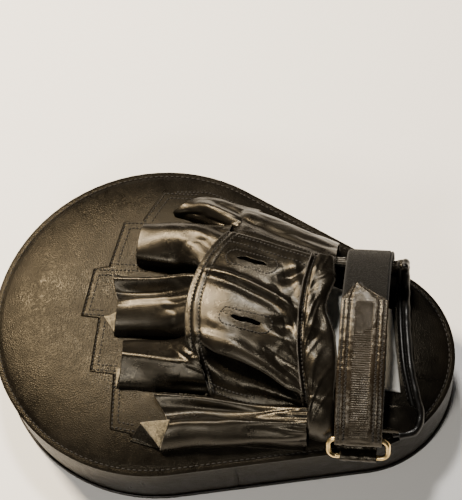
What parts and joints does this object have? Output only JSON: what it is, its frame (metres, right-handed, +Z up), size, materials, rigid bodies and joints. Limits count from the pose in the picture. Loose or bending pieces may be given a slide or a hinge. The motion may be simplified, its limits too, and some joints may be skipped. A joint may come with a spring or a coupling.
{
  "type": "focus mitt",
  "caption": "Right-hand boxing focus mitt: pear-shaped foam pad with a stitched open-finger leather glove, elastic wrist strap and brass ring on its back.",
  "frame": {"origin": "on the ground under the middle of the pad, with the mitt lying on its striking face", "axes": "+X from the head of the pad to its wrist end, +Y to the little-finger side, +Z up out of the glove side"},
  "size_m": [0.28, 0.2, 0.0901],
  "materials": {
    "face_leather": "smooth coated leather, low sheen",
    "target_leather": "smooth red leather",
    "welt_leather": "black leather strip",
    "wall_leather": "smooth black leather, soft sheen",
    "back_leather": "smooth black leather, soft sheen, fine grain",
    "glove_leather": "soft black leather, creased, tan suede inside",
    "strap_leather": "glossy black leather, dense zigzag stitching",
    "soft_foam": "open-cell foam",
    "shock_foam": "dense closed-cell foam",
    "board": "fibre board",
    "elastic": "ribbed black elastic webbing",
    "lining": "pale woven lining",
    "pile_tape": "black loop pile",
    "hook_tape": "black hook tape",
    "brass": "polished brass wire"
  },
  "bodies": {
    "mitt": {"strike_face": "face_leather", "target_dot": "target_leather", "face_welt": "welt_leather", "back_welt": "welt_leather", "cuff_binding": "welt_leather", "gusset_head": "wall_leather", "gusset_wrist": "wall_leather", "back_cover": "back_leather", "palm_panel": "back_leather", "little_stall": "glove_leather", "ring_stall": "glove_leather", "middle_stall": "glove_leather", "index_stall": "glove_leather", "thumb_stall": "glove_leather", "hand_cover": "glove_leather", "slot_facings": "glove_leather", "side_wall": "glove_leather", "thumb_web": "glove_leather", "wrist_hem": "glove_leather", "gathered_strip": "glove_leather", "wrist_base": "glove_leather", "cuff_wall": "glove_leather", "near_flap": "glove_leather", "ring_keeper": "strap_leather", "front_foam": "soft_foam", "back_foam": "soft_foam", "shock_foam": "shock_foam", "stiffener_board": "board", "strip_elastic": "elastic", "strap_base": "elastic", "lining_patch": "lining", "loop_tape": "pile_tape"},
    "ring": {"buckle_ring": "brass"},
    "strap_tab": {"strap_end": "strap_leather", "hook_tape": "hook_tape"}
  },
  "joints": [
    {"name": "ring_swing", "type": "hinge", "parent": "mitt", "child": "ring", "pos_m": [0.09654, -0.06261, 0.0485], "axis": [0.9903, 0.1392, 0], "range_deg": [0, 35]},
    {"name": "tab_peel", "type": "hinge", "parent": "ring", "child": "strap_tab", "pos_m": [0.09564, -0.05617, 0.0585], "axis": [0.9903, 0.1392, 0], "range_deg": [0, 140]}
  ]
}
